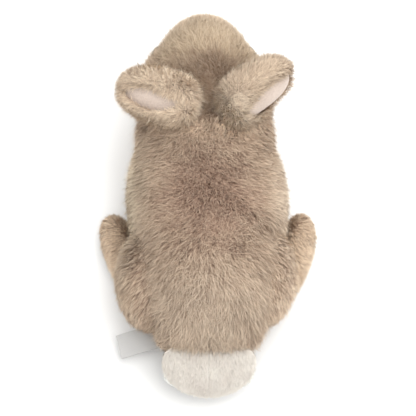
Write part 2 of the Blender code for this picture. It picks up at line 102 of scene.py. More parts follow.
def formPoint(rows, angles, along, turn):
    width, top, bottom = rowValues(rows, angles, along)
    station = rows[0][0] + (rows[-1][0] - rows[0][0]) * (1 - math.cos(along)) / 2
    side, rise = math.cos(turn), math.sin(turn)
    power = 2.1 if rise < 0 else 2.0  # a little fuller below
    x = width * math.copysign(abs(side) ** (2 / power), side)
    z = (top + bottom) / 2 + (top - bottom) / 2 * math.copysign(abs(rise) ** (2 / power), rise)
    return spot(x + leanAt(station), station, max(z, 0.0))


def formFrame(rows, station, turn):
    angles = rowAngles(rows)
    along, step = math.acos(1 - 2 * (station - rows[0][0]) / (rows[-1][0] - rows[0][0])), 0.01
    here = formPoint(rows, angles, along, turn)
    forward = formPoint(rows, angles, along + step, turn) - formPoint(rows, angles, along - step, turn)
    around = formPoint(rows, angles, along, turn + step) - formPoint(rows, angles, along, turn - step)
    normal = forward.cross(around).normalized()
    outward = here - spot(0, station, here.z * 0.5 + 0.025)
    return here, normal if normal.dot(outward) > 0 else -normal


def faceOut(mesh):
    bmesh.ops.recalc_face_normals(mesh, faces=mesh.faces)
    if mesh.calc_volume(signed=True) < 0:
        bmesh.ops.reverse_faces(mesh, faces=mesh.faces)
    mesh.normal_update()


def settle(mesh, depth):
    for vert in mesh.verts:
        vert.co -= vert.normal * depth
    mesh.normal_update()


def roundForm(rows, around, rings, depth):
    mesh = bmesh.new()
    bmesh.ops.create_uvsphere(mesh, u_segments=around, v_segments=rings, radius=1.0)
    angles = rowAngles(rows)
    for vert in mesh.verts:
        along = math.acos(min(max(vert.co.z, -1.0), 1.0))
        vert.co = formPoint(rows, angles, along, math.atan2(vert.co.y, vert.co.x))
    faceOut(mesh)
    settle(mesh, depth)
    return mesh


def ball(radii, centre, around=40, rings=26):
    mesh = bmesh.new()
    bmesh.ops.create_uvsphere(mesh, u_segments=around, v_segments=rings, radius=1.0)
    mesh.transform(Matrix.Translation(centre) @ Matrix.Diagonal((*radii, 1)))
    faceOut(mesh)
    return mesh


def trim(mesh, point, normal):
    parts = mesh.verts[:] + mesh.edges[:] + mesh.faces[:]
    bmesh.ops.bisect_plane(mesh, geom=parts, plane_co=point, plane_no=normal, clear_outer=True, dist=1e-6)


def addWall(mesh, wall):
    layer = mesh.verts.layers.float_vector.new("outward")
    for vert in mesh.verts:
        vert[layer] = vert.normal.copy()
    grown = bmesh.ops.extrude_face_region(mesh, geom=mesh.faces[:], use_keep_orig=True)
    for item in grown["geom"]:
        if isinstance(item, bmesh.types.BMVert):
            item.co -= item[layer] * wall
    bmesh.ops.recalc_face_normals(mesh, faces=mesh.faces)


def openingPlane(shift):
    top, foot = spot(0, *torso["openingTop"]), spot(0, *torso["openingFoot"])
    normal = Vector((1, 0, 0)).cross(top - foot).normalized()
    if normal.y < 0:
        normal.negate()
    return top + normal * shift, normal


def towards(origin, direction):
    return Matrix.Translation(origin) @ direction.to_track_quat("Z", "Y").to_matrix().to_4x4()


def colour(red, green, blue):
    channels = [c / 12.92 if c <= 0.04045 else ((c + 0.055) / 1.055) ** 2.4 for c in (red, green, blue)]
    return (*channels, 1.0)


def addNode(tree, kind, inputs=None, **settings):
    node = tree.nodes.new(kind)
    for name, value in settings.items():
        setattr(node, name, value)
    for key, value in (inputs or {}).items():
        if isinstance(value, bpy.types.NodeSocket):
            tree.links.new(value, node.inputs[key])
        else:
            node.inputs[key].default_value = value
    return node


def calc(tree, operation, first, second=0.0):
    return addNode(tree, "ShaderNodeMath", {0: first, 1: second}, operation=operation).outputs[0]


def vectorCalc(tree, operation, *values):
    return addNode(tree, "ShaderNodeVectorMath", dict(enumerate(values)), operation=operation)


def blendColours(tree, factor, first, second, blend="MIX"):
    inputs = {0: factor, 6: first, 7: second}
    return addNode(tree, "ShaderNodeMix", inputs, data_type="RGBA", blend_type=blend).outputs[2]


def noise(tree, place, scale, **settings):
    inputs = {"Vector": place, "Scale": scale}
    inputs.update({key.title(): value for key, value in settings.items()})
    return addNode(tree, "ShaderNodeTexNoise", inputs).outputs[0]


def ramp(tree, value, low, high, outLow=0.0, outHigh=1.0):
    inputs = {"Value": value, "From Min": low, "From Max": high, "To Min": outLow, "To Max": outHigh}
    return addNode(tree, "ShaderNodeMapRange", inputs, interpolation_type="SMOOTHSTEP").outputs[0]


def newGroup(name, inputs, outputs):
    tree = bpy.data.node_groups.new(name, "ShaderNodeTree")
    for label, kind in inputs:
        tree.interface.new_socket(label, in_out="INPUT", socket_type="NodeSocket" + kind)
    for label, kind in outputs:
        tree.interface.new_socket(label, in_out="OUTPUT", socket_type="NodeSocket" + kind)
    return tree, addNode(tree, "NodeGroupInput").outputs, addNode(tree, "NodeGroupOutput").inputs


def patchGroup():
    # a soft-edged oval of colour, with a ragged edge
    tree, given, result = newGroup(
        "colourPatch",
        [("Place", "Vector"), ("Centre", "Vector"), ("Radii", "Vector"), ("Edge", "Float"),
         ("Ragged", "Float")],
        [("Mask", "Float")])
    ragged = noise(tree, given["Place"], 95.0, detail=3.0)
    away = vectorCalc(tree, "SUBTRACT", given["Place"], given["Centre"]).outputs[0]
    scaled = vectorCalc(tree, "DIVIDE", away, given["Radii"]).outputs[0]
    reach = vectorCalc(tree, "LENGTH", scaled).outputs["Value"]
    shaken = calc(tree, "MULTIPLY", calc(tree, "SUBTRACT", ragged, 0.5), given["Ragged"])
    total = calc(tree, "ADD", reach, shaken)
    start = calc(tree, "SUBTRACT", 1.0, given["Edge"])
    tree.links.new(ramp(tree, total, start, 1.0, 1.0, 0.0), result["Mask"])
    return tree


def pileGroup():
    # root to tip tone of one strand: darker roots, partly their own pinkish-brown colour and partly painted
    # shade deep in the pile, tinted warm; and its own chance lightness
    tree, given, result = newGroup(
        "pileShade",
        [("Body", "Color"), ("Along", "Float"), ("Strand", "Float"), ("Place", "Vector"),
         ("Deep", "Float"), ("Frost", "Float"), ("Spread", "Float")],
        [("Color", "Color")])
    warm = noise(tree, given["Place"], 60.0, detail=2.0)
    deepShade = ramp(tree, given["Along"], 0.0, 0.75, 0.0, 1.0)
    lighter = calc(tree, "MULTIPLY", deepShade, calc(tree, "SUBTRACT", 1.0, given["Deep"]))
    level = calc(tree, "ADD", lighter, given["Deep"])
    chance = calc(tree, "MULTIPLY", calc(tree, "SUBTRACT", given["Strand"], 0.5), given["Spread"])
    cloud = calc(tree, "MULTIPLY", calc(tree, "SUBTRACT", warm, 0.5), 0.35)
    total = calc(tree, "MULTIPLY", level, calc(tree, "ADD", calc(tree, "ADD", 1.0, chance), cloud))
    warmth = {0: calc(tree, "POWER", total, 0.82), 1: total, 2: calc(tree, "POWER", total, 1.04)}
    shadow = addNode(tree, "ShaderNodeCombineColor", warmth).outputs[0]
    shaded = blendColours(tree, 1.0, given["Body"], shadow, "MULTIPLY")
    guard = ramp(tree, given["Strand"], 0.80, 0.92, 0.65, 1.6)
    frost = calc(tree, "MULTIPLY", given["Frost"], guard)
    tipMask = calc(tree, "MULTIPLY", ramp(tree, given["Along"], 0.45, 1.0), frost)
    pale = blendColours(tree, 0.5, given["Body"], colour(0.95, 0.89, 0.80))
    tree.links.new(blendColours(tree, tipMask, shaded, pale), result["Color"])
    return tree


def weaveGroup():
    # plain weave: threads over and under, as height and as a shade
    tree, given, result = newGroup(
        "plainWeave", [("Place", "Vector"), ("Threads", "Float")], [("Height", "Float"), ("Shade", "Float")])
    parts = addNode(tree, "ShaderNodeSeparateXYZ", {0: given["Place"]}).outputs
    waves = [calc(tree, "SINE", calc(tree, "MULTIPLY", parts[i], given["Threads"])) for i in (0, 1)]
    over = calc(tree, "MULTIPLY", waves[0], waves[1])
    fibre = noise(tree, given["Place"], 2500.0, detail=2.0)
    height = calc(tree, "ADD", calc(tree, "MULTIPLY", over, 0.5), calc(tree, "MULTIPLY", fibre, 0.4))
    tree.links.new(height, result["Height"])
    tree.links.new(ramp(tree, height, -0.4, 0.8, 0.78, 1.08), result["Shade"])
    return tree


colourPatch, pileShade, plainWeave = patchGroup(), pileGroup(), weaveGroup()


def newMaterial(name, roughness, **shaderValues):
    material = bpy.data.materials.new(name)
    material.use_nodes = True
    tree = material.node_tree
    shader = tree.nodes["Principled BSDF"]
    shader.inputs["Roughness"].default_value = roughness
    for key, value in shaderValues.items():
        shader.inputs[key.replace("_", " ")].default_value = value
    place = addNode(tree, "ShaderNodeTexCoord").outputs
    return material, tree, shader, place


def useGroup(tree, group, inputs):
    node = addNode(tree, "ShaderNodeGroup", node_tree=group)
    for key, value in inputs.items():
        if isinstance(value, bpy.types.NodeSocket):
            tree.links.new(value, node.inputs[key])
        else:
            node.inputs[key].default_value = value
    return node.outputs


def furMaterial(name, coat):
    material, tree, shader, place = newMaterial(name, 0.85, Sheen_Weight=coat.get("sheen", 0.25),
                                                Sheen_Roughness=0.5, Specular_IOR_Level=0.2)
    shader.inputs["Sheen Tint"].default_value = colour(0.95, 0.90, 0.84)
    body = coat["body"]
    for patch in coat.get("patches", ()):
        mask = useGroup(tree, colourPatch, {
            "Place": place["Object"], "Centre": spot(*patch["at"]), "Radii": patch["radii"],
            "Edge": patch.get("edge", 0.6), "Ragged": patch.get("ragged", 0.5)})["Mask"]
        body = blendColours(tree, calc(tree, "MULTIPLY", mask, patch["strength"]), body, patch["colour"])
    parts = addNode(tree, "ShaderNodeSeparateXYZ", {0: place["UV"]}).outputs
    shade = useGroup(tree, pileShade, {
        "Body": body, "Along": parts[1], "Strand": parts[0], "Place": place["Object"],
        "Deep": coat["deep"], "Frost": coat["frost"], "Spread": coat["spread"]})
    tree.links.new(shade["Color"], shader.inputs["Base Color"])
    return material


def clothMaterial(name, tone, threads, depth, roughness=0.85, sheen=0.2):
    material, tree, shader, place = newMaterial(name, roughness, Sheen_Weight=sheen, Specular_IOR_Level=0.3)
    weave = useGroup(tree, plainWeave, {"Place": place["Object"], "Threads": threads})
    grey = addNode(tree, "ShaderNodeCombineColor", {0: weave["Shade"], 1: weave["Shade"], 2: weave["Shade"]})
    stain = noise(tree, place["Object"], 40.0)
    varied = blendColours(tree, stain, tone, [0.85 * c for c in tone[:3]] + [1.0])
    tree.links.new(blendColours(tree, 1.0, varied, grey.outputs[0], "MULTIPLY"), shader.inputs["Base Color"])
    bump = addNode(tree, "ShaderNodeBump", {"Height": weave["Height"], "Strength": 0.6, "Distance": depth})
    tree.links.new(bump.outputs[0], shader.inputs["Normal"])
    return material


def fuzzMaterial(name, tone, shadowTone, scale, depth, sheen=0.3, roughness=0.9):
    # short velour or loose fibre: fine speckle with soft clouds
    material, tree, shader, place = newMaterial(name, roughness, Sheen_Weight=sheen, Specular_IOR_Level=0.2)
    fine = noise(tree, place["Object"], scale, detail=4.0)
    cloud = noise(tree, place["Object"], scale / 12)
    mixed = calc(tree, "ADD", calc(tree, "MULTIPLY", fine, 0.65), calc(tree, "MULTIPLY", cloud, 0.35))
    shaded = blendColours(tree, ramp(tree, mixed, 0.35, 0.62), shadowTone, tone)
    tree.links.new(shaded, shader.inputs["Base Color"])
    bump = addNode(tree, "ShaderNodeBump", {"Height": fine, "Strength": 0.8, "Distance": depth})
    tree.links.new(bump.outputs[0], shader.inputs["Normal"])
    return material


def plasticMaterial(name, tone, shadowTone, gloss):
    # moulded plastic: clouded colour and fine scuffs in the gloss
    material, tree, shader, place = newMaterial(name, gloss, Coat_Weight=0.1, Coat_Roughness=0.04,
                                                Specular_IOR_Level=0.35)
    cloud = noise(tree, place["Object"], 180.0, detail=2.0)
    scuff = noise(tree, place["Object"], 2200.0, detail=5.0)
    tree.links.new(blendColours(tree, cloud, shadowTone, tone), shader.inputs["Base Color"])
    tree.links.new(ramp(tree, scuff, 0.45, 0.75, gloss * 0.8, gloss + 0.12), shader.inputs["Roughness"])
    return material


coat = {
    "body": colour(0.79, 0.685, 0.59), "deep": 0.36, "frost": 0.55, "spread": 0.95,
    "patches": (
        {"at": (0, 0.040, 0.080), "radii": (0.075, 0.055, 0.080), "colour": colour(0.80, 0.715, 0.63),
         "strength": 0.9, "edge": 0.9},
        {"at": (0.062, 0.135, 0.060), "radii": (0.030, 0.070, 0.060), "colour": colour(0.84, 0.77, 0.67),
         "strength": 0.9, "edge": 0.9},
        {"at": (-0.062, 0.135, 0.060), "radii": (0.030, 0.070, 0.060), "colour": colour(0.87, 0.79, 0.70),
         "strength": 0.9, "edge": 0.9},
        # the nape lightened: painted light against the shadow that the ears cast there
        {"at": (0, 0.188, 0.100), "radii": (0.060, 0.030, 0.060), "colour": colour(0.99, 0.88, 0.77),
         "strength": 1.0, "edge": 0.8},
        {"at": (0, 0.120, 0.108), "radii": (0.056, 0.056, 0.060), "colour": colour(0.69, 0.56, 0.475),
         "strength": 1.0, "edge": 0.75, "ragged": 0.7},
        {"at": (0, 0.240, 0.100), "radii": (0.060, 0.052, 0.070), "colour": colour(0.69, 0.595, 0.485),
         "strength": 0.9, "edge": 0.6},
        {"at": (0, 0.212, 0.112), "radii": (0.046, 0.025, 0.036), "colour": colour(0.475, 0.365, 0.28),
         "strength": 1.0, "edge": 0.8, "ragged": 0.9},
        {"at": (0, 0.190, 0.105), "radii": (0.0105, 0.030, 0.030), "colour": colour(0.60, 0.48, 0.385),
         "strength": 0.95, "edge": 0.8, "ragged": 0.7},
        # the fur by the right ear's root lightened: partly its own pale fur, partly painted light against the
        # deep shade between the ear and the head
        {"at": (-0.018, 0.183, 0.105), "radii": (0.020, 0.018, 0.030), "colour": colour(0.97, 0.89, 0.79),
         "strength": 0.9, "edge": 0.8},
        # the tops of the haunches lightened, the right one more: painted light against the shade where body,
        # haunch and foot meet
        {"at": (0.058, 0.075, 0.040), "radii": (0.024, 0.045, 0.050), "colour": colour(0.85, 0.765, 0.665),
         "strength": 0.8, "edge": 0.9},
        {"at": (-0.055, 0.078, 0.040), "radii": (0.026, 0.048, 0.050), "colour": colour(0.93, 0.84, 0.74),
         "strength": 0.9, "edge": 0.9},
        {"at": (0, 0.258, 0.050), "radii": (0.072, 0.050, 0.045), "colour": colour(0.86, 0.77, 0.67),
         "strength": 0.95, "edge": 0.8, "ragged": 0.3},
        {"at": (0, 0.272, 0.038), "radii": (0.024, 0.022, 0.022), "colour": colour(0.88, 0.85, 0.80),
         "strength": 0.8, "edge": 0.8},
    ),
}
earCoat = {
    "body": colour(0.90, 0.81, 0.71), "deep": 0.66, "frost": 0.55, "spread": 0.75,
    "patches": (
        # the right ear darkened: painted shade, as it faces the lamps and would show lighter than the left
        {"at": (-0.040, 0.195, 0.110), "radii": (0.045, 0.060, 0.060), "colour": colour(0.83, 0.74, 0.645),
         "strength": 1.0, "edge": 0.4},
        # the right ear's root lightened: partly its own pale fur, partly painted light against the deep shade
        # between the ear and the head
        {"at": (-0.018, 0.180, 0.108), "radii": (0.020, 0.020, 0.030), "colour": colour(0.99, 0.92, 0.83),
         "strength": 1.0, "edge": 0.9},
    ),
}
# feet and forelegs lighter than the back, with less root darkening: painted light against the shade between
# the body and the limbs
limbCoat = {"body": colour(0.90, 0.805, 0.70), "deep": 0.60, "frost": 0.50, "spread": 0.7}
whiteCoat = {"body": colour(0.955, 0.93, 0.895), "deep": 0.92, "frost": 0.2, "spread": 0.05, "sheen": 0.4}

backFur = furMaterial("backFur", coat)
earFur = furMaterial("earFur", earCoat)
limbFur = furMaterial("limbFur", limbCoat)
whitePlush = furMaterial("whitePlush", whiteCoat)
earVelour = fuzzMaterial("earVelour", colour(0.82, 0.755, 0.705), colour(0.76, 0.69, 0.64), 900.0, 0.0006)
fibreFill = fuzzMaterial("fibreFill", colour(0.95, 0.95, 0.93), colour(0.82, 0.82, 0.80), 500.0, 0.001)
liningCloth = clothMaterial("liningCloth", colour(0.72, 0.66, 0.58), 5200.0, 0.0003)
ribbonWeave = clothMaterial("ribbonWeave", colour(0.81, 0.805, 0.795), 9000.0, 0.0001, 0.5, 0.1)
threadBrown = fuzzMaterial("threadBrown", colour(0.34, 0.22, 0.19), colour(0.22, 0.14, 0.12),
                           3000.0, 0.0001, 0.2, 0.5)
threadCream = fuzzMaterial("threadCream", colour(0.86, 0.81, 0.73), colour(0.74, 0.68, 0.60),
                           3000.0, 0.0001, 0.2, 0.6)
eyePlastic = plasticMaterial("eyePlastic", colour(0.075, 0.040, 0.028), colour(0.030, 0.020, 0.018), 0.07)
washerPlastic = plasticMaterial("washerPlastic", colour(0.90, 0.90, 0.88), colour(0.84, 0.84, 0.82), 0.42)
print("materials ready")


def unit(rows):
    return rows / np.maximum(np.linalg.norm(rows, axis=1, keepdims=True), 1e-9)


def smooth(values, low, high):
    t = np.clip((values - low) / (high - low), 0.0, 1.0)
    return t * t * (3 - 2 * t)


def drift(points, size, seed):
    # smooth chance vectors that change over about this size
    draw = np.random.default_rng(seed)
    total = np.zeros_like(points)
    for _ in range(5):
        waves = draw.normal(0.0, 3.5 / size, (3, 3))
        total += np.sin(points @ waves + draw.uniform(0, math.tau, 3))
    return total / 2.2


def meshArrays(mesh):
    data = bpy.data.meshes.new("skin")
    mesh.to_mesh(data)
    points = np.empty(len(data.vertices) * 3, np.float32)
    normals = np.empty(len(data.vertices) * 3, np.float32)
    data.vertices.foreach_get("co", points)
    data.vertices.foreach_get("normal", normals)
    corners = np.empty(len(data.loops), np.int32)
    data.loops.foreach_get("vertex_index", corners)
    starts = np.empty(len(data.polygons), np.int32)
    data.polygons.foreach_get("loop_start", starts)
    data.calc_loop_triangles()
    triangles = np.empty(len(data.loop_triangles) * 3, np.int32)
    data.loop_triangles.foreach_get("vertices", triangles)
    bpy.data.meshes.remove(data)
    return points.reshape(-1, 3), normals.reshape(-1, 3), corners, starts, triangles.reshape(-1, 3)


def scatter(points, normals, triangles, count, draw):
    a, b, c = (points[triangles[:, k]] for k in range(3))
    areas = np.linalg.norm(np.cross(b - a, c - a), axis=1)
    picked = draw.choice(len(triangles), size=count, p=areas / areas.sum())
    u, v = draw.uniform(0, 1, (2, count))
    fold = u + v > 1
    u, v = np.where(fold, 1 - u, u), np.where(fold, 1 - v, v)
    weights = np.stack([1 - u - v, u, v], 1)[:, :, None]
    chosen = triangles[picked]
    return (points[chosen] * weights).sum(1), unit((normals[chosen] * weights).sum(1))


strandWidth = 0.00031


def growPile(points, normals, triangles, pile, seed):
    draw = np.random.default_rng(seed)
    roots, up = scatter(points, normals, triangles, pile["count"], draw)
    if "where" in pile:
        kept = pile["where"](roots, up)
        roots, up = roots[kept], up[kept]
    count = len(roots)
    chance = draw.uniform(-1, 1, (count, 3))
    flow = pile["comb"](roots) + drift(roots, pile.get("swirl", 0.030), seed) * pile.get("stray", 0.25)
    flow += chance * pile.get("fray", 0.30)
    flow = unit(flow - up * (flow * up).sum(1, keepdims=True))
    shade = draw.uniform(0, 1, count)
    guard = np.where(shade > 0.88, 1.35, 1.0)  # pale guard hairs stand out
    reach = pile["length"] * draw.uniform(0.68, 1.05, count) * guard
    if "reach" in pile:
        reach = reach * pile["reach"](roots)
    early = np.radians(pile["lift"][0]) + draw.normal(0, 0.16, count)
    late = np.radians(pile["lift"][1]) + draw.normal(0, 0.22, count)
    half = (reach / 2)[:, None]
    middles = roots + half * (up * np.sin(early)[:, None] + flow * np.cos(early)[:, None])
    tips = middles + half * (up * np.sin(late)[:, None] + flow * np.cos(late)[:, None])

    leaders = max(count // pile.get("tuft", 26), 1)  # neighbours lean towards one strand of their tuft
    tree = KDTree(leaders)
    for i in range(leaders):
        tree.insert(roots[i], i)
    tree.balance()
    own = np.fromiter((tree.find(root)[1] for root in roots), np.int64, count)
    pull = (pile.get("gather", 0.45) * draw.uniform(0.3, 1.0, count))[:, None]
    tips += (tips[own] - tips) * pull
    middles += (middles[own] - middles) * pull * 0.35

    way = unit(tips - roots)
    side = unit(np.cross(way, up) + chance * 0.02)  # turned so that the ribbon's front faces out
    twist = draw.uniform(-0.9, 0.9, count)[:, None]
    side = side * np.cos(twist) + np.cross(way, side) * np.sin(twist)
    width = (strandWidth * draw.uniform(0.7, 1.2, count))[:, None] / 2
    ribbons = np.stack([roots - side * width, roots + side * width,
                        middles - side * width * 0.9, middles + side * width * 0.9, tips], 1)
    ribbons[:, :, 2] = np.maximum(ribbons[:, :, 2], 0.0004)
    across = up - way * (up * way).sum(1, keepdims=True) * 0.5
    facing = unit(across + chance * pile.get("sparkle", 0.40))
    return ribbons.astype(np.float32), facing.astype(np.float32), shade


def furPiece(name, mesh, pile, material, seed, wall=0.0):
    points, normals, _, _, triangles = meshArrays(mesh)
    ribbons, facing, chance = growPile(points, normals, triangles, pile, seed)
    if wall:
        addWall(mesh, wall)
    mesh.normal_update()
    points, normals, corners, starts, _ = meshArrays(mesh)
    mesh.free()
    count, base = len(ribbons), len(points)
    pattern = np.array([0, 1, 3, 2, 2, 3, 4])  # a quad and the tip's triangle
    strandCorners = (base + np.arange(count)[:, None] * 5 + pattern).ravel()
    strandStarts = (len(corners) + np.arange(count)[:, None] * 7 + np.array([0, 4])).ravel()
    data = bpy.data.meshes.new(name)
    data.vertices.add(base + count * 5)
    data.vertices.foreach_set("co", np.concatenate([points, ribbons.reshape(-1, 3)]).ravel())
    data.loops.add(len(corners) + count * 7)
    data.loops.foreach_set("vertex_index", np.concatenate([corners, strandCorners]).astype(np.int32))
    data.polygons.add(len(starts) + count * 2)
    data.polygons.foreach_set("loop_start", np.concatenate([starts, strandStarts]).astype(np.int32))
    data.update(calc_edges=True)
    data.validate()
    along = np.array([0.0, 0.0, 0.55, 0.55, 0.55, 0.55, 1.0])
    strandMap = np.stack([np.repeat(chance, 7), np.tile(along, count)], 1)
    skinMap = np.tile([0.5, 0.0], (len(corners), 1))
    layer = data.uv_layers.new(name="strand")
    layer.data.foreach_set("uv", np.concatenate([skinMap, strandMap]).astype(np.float32).ravel())
    shading = data.attributes.new("custom_normal", "FLOAT_VECTOR", "POINT")
    shading.data.foreach_set("vector", np.concatenate([normals, np.repeat(facing, 5, axis=0)]).ravel())
    data.materials.append(material)
    piece = bpy.data.objects.new(name, data)
    bpy.context.scene.collection.objects.link(piece)
    return piece


def smoothPiece(name, mesh, material, sharp=40):
    data = bpy.data.meshes.new(name)
    mesh.to_mesh(data)
    mesh.free()
    data.materials.append(material)
    data.shade_smooth()
    data.set_sharp_from_angle(angle=math.radians(sharp))
    piece = bpy.data.objects.new(name, data)
    bpy.context.scene.collection.objects.link(piece)
    return piece


def standFor(piece, body, nodes):
    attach(piece, body)
    if nodes:
        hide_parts(*nodes)
    return piece


def steady(x, y, z):
    return lambda points: np.tile(np.array([x, y, z], np.float64), (len(points), 1))


def combBack(points):
    # over the back: towards the tail, fanning out at the sides, parted at the centre seam by the tail
    x, station = points[:, 0], bodyLength / 2 - points[:, 1]
    seam = smooth(-station, -0.054, -0.040) * smooth(station, 0.031, 0.037)
    parting = np.sign(x) * np.exp(-((x / 0.003) ** 2)) * seam
    fan = x * 10 * smooth(np.abs(x), 0.002, 0.030)
    return np.stack([fan + parting * 0.6, np.ones(len(x)), -0.25 - np.abs(x) * 8], 1)


def backReach(points):
    # shorter over the shoulders than over the rump
    station = bodyLength / 2 - points[:, 1]
    return 1.0 - 0.20 * smooth(station, 0.075, 0.130)


def combHead(points):
    # away from the crown, all round
    x, station = points[:, 0], bodyLength / 2 - points[:, 1]
    return np.stack([x * 16, (0.205 - station) * 30, (points[:, 2] - 0.09) * 9], 1)


backPile = {"count": 62000, "length": 0.0112, "lift": (68, 36), "comb": combBack,
            "reach": backReach, "stray": 0.40, "fray": 0.95, "gather": 0.08, "tuft": 10}
bellyPile = {"count": 26000, "length": 0.0032, "lift": (70, 50), "comb": steady(0, 1, 0)}


def buildTorso():
    opening, openingWay = openingPlane(0)
    for side, name, seed in ((1, "left", 11), (-1, "right", 12)):
        mesh = roundForm(torsoRows, 64, 60, 0.0026)
        trim(mesh, (0, 0, 0), (-side, 0, 0))
        trim(mesh, (0, 0, torso["bellySeam"]), (0, 0, -1))
        trim(mesh, spot(0, torso["front"], 0), (0, -1, 0))
        trim(mesh, opening, openingWay)
        piece = furPiece("back_fur_" + name, mesh, backPile, backFur, seed, 0.0010)
        standFor(piece, "torso", ["back_panel_" + name])
    mesh = roundForm(torsoRows, 64, 60, 0.0020)
    trim(mesh, (0, 0, torso["bellySeam"]), (0, 0, 1))
    trim(mesh, spot(0, torso["front"], 0), (0, -1, 0))
    trim(mesh, opening, openingWay)
    piece = furPiece("belly_plush", mesh, bellyPile, whitePlush, 13, 0.0010)
    standFor(piece, "torso", ["belly_panel"])


neckPile = {"count": 46000, "length": 0.0112, "lift": (66, 34), "comb": combBack,
            "stray": 0.40, "fray": 0.95, "gather": 0.08, "tuft": 10}


def buildNeck():
    centre = spot(leanAt(neck["station"]), neck["station"], neck["height"])
    mesh = ball(neck["radii"], centre, 64, 40)
    for sense in (1, -1):
        trim(mesh, centre + Vector((0, sense * neck["halfSpan"], 0)), (0, sense, 0))
    piece = furPiece("neck_fur", mesh, neckPile, backFur, 21, 0.0010)
    standFor(piece, "neck", ["neck_collar"])


eye = {"station": 0.2415, "turn": math.radians(20), "radius": 0.0062, "height": 0.0045}
eyeSeats = {side: formFrame(headRows, eye["station"], eye["turn"] if side > 0 else math.pi - eye["turn"])
            for side in (1, -1)}
noseSeat = formFrame(headRows, 0.2755, math.radians(90))


def faceClear(points, up):
    # no pile over the eyes and the nose
    kept = np.ones(len(points), bool)
    for seat, radius in ((eyeSeats[1][0], 0.0076), (eyeSeats[-1][0], 0.0076), (noseSeat[0], 0.0052)):
        kept &= np.linalg.norm(points - np.array(seat), axis=1) > radius
    return kept


def faceReach(points):
    # the pile is clipped short round the eyes and on the muzzle
    station, z = bodyLength / 2 - points[:, 1], points[:, 2]
    return 1.0 - 0.60 * smooth(station, 0.228, 0.262) * (1 - smooth(z, 0.054, 0.078))


headPile = {"count": 42000, "length": 0.0094, "lift": (64, 36), "comb": combHead,
            "where": faceClear, "reach": faceReach, "stray": 0.4, "fray": 1.0, "gather": 0.10, "tuft": 10}
chinPile = {"count": 16000, "length": 0.0034, "lift": (66, 45), "comb": combHead,
            "where": faceClear}


def buildHead():
    rear, edge, chin = spot(0, head["rear"], 0), head["gusset"], head["chinSeam"]
    panels = (("crown_fur", "head_gusset", 31, 0), ("cheek_fur_left", "cheek_panel_left", 32, 1),
              ("cheek_fur_right", "cheek_panel_right", 33, -1))
    for name, node, seed, side in panels:
        mesh = roundForm(headRows, 64, 44, 0.0024)
        if side:
            trim(mesh, (side * edge, 0, 0), (-side, 0, 0))
        else:
            trim(mesh, (edge, 0, 0), (1, 0, 0))
            trim(mesh, (-edge, 0, 0), (-1, 0, 0))
        trim(mesh, (0, 0, chin), (0, 0, -1))
        trim(mesh, rear, (0, 1, 0))
        piece = furPiece(name, mesh, headPile, backFur, seed, 0.0010)
        standFor(piece, "head", [node])
    mesh = roundForm(headRows, 64, 44, 0.0020)
    trim(mesh, (0, 0, chin), (0, 0, 1))
    trim(mesh, rear, (0, 1, 0))
    piece = furPiece("chin_plush", mesh, chinPile, whitePlush, 34, 0.0010)
    standFor(piece, "head", ["chin_panel"])


buildTorso()
buildNeck()
buildHead()
print("body, neck and head furred")


haunch = {"left": (0.0405, 0.0790, 0.042), "right": (0.0365, 0.0825, 0.042),
          "radii": (0.0220, 0.0330, 0.0340)}
# size: the middle's x and station, half width, half length, height; toeOut in degrees: right, left
foot = {"size": (0.0618, 0.1055, 0.0146, 0.0330, 0.029), "heel": 0.55, "toeOut": (14, 21),
        "count": 15000, "seed": 51}
foreleg = {"size": (0.0350, 0.186, 0.0105, 0.0260, 0.020), "heel": 0.10, "toeOut": (3, 3),
           "count": 10000, "seed": 61}
soleSeam = 0.0055


def limbForm(limb, side, depth):
    x, station, halfWidth, halfLength, height = limb["size"]
    heel = limb["heel"]
    mesh = ball((1, 1, 1), (0, 0, 0), 40, 30)
    mesh.transform(Matrix.Rotation(math.radians(90), 4, "X"))
    for vert in mesh.verts:
        ahead = -vert.co.y
        rise = height * (1 - heel * (1 - ahead) ** 2 / 4)
        blunt = math.copysign(abs(vert.co.z) ** 0.9, vert.co.z)
        slim = 1 - 0.25 * heel * (1 - ahead)  # narrower at the heel
        z = max((blunt * 0.56 + 0.44) * rise, 0.0)
        vert.co = (vert.co.x * halfWidth * slim, vert.co.y * halfLength, z)
    bmesh.ops.remove_doubles(mesh, verts=mesh.verts, dist=1e-6)
    faceOut(mesh)
    settle(mesh, depth)
    turn = math.radians(limb["toeOut"][side > 0]) * side
    mesh.transform(Matrix.Translation((side * x, yAt(station), 0)) @ Matrix.Rotation(turn, 4, "Z"))
    return mesh


def buildHaunch(side, name):
    x, station, z = haunch[name]
    mesh = ball(haunch["radii"], spot(side * x, station, z), 48, 36)
    haunchPile = {"count": 26000, "length": 0.0082, "lift": (62, 32), "fray": 0.5, "tuft": 14,
                  "comb": steady(side * 0.55, 1, -0.35),
                  "where": lambda points, up: (points[:, 0] * side > 0.036)}
    piece = furPiece("haunch_fur_" + name, mesh, haunchPile, backFur, 41 + side)
    standFor(piece, "hind_leg_" + name, ["haunch_cover_" + name, "haunch_stuffing_" + name])


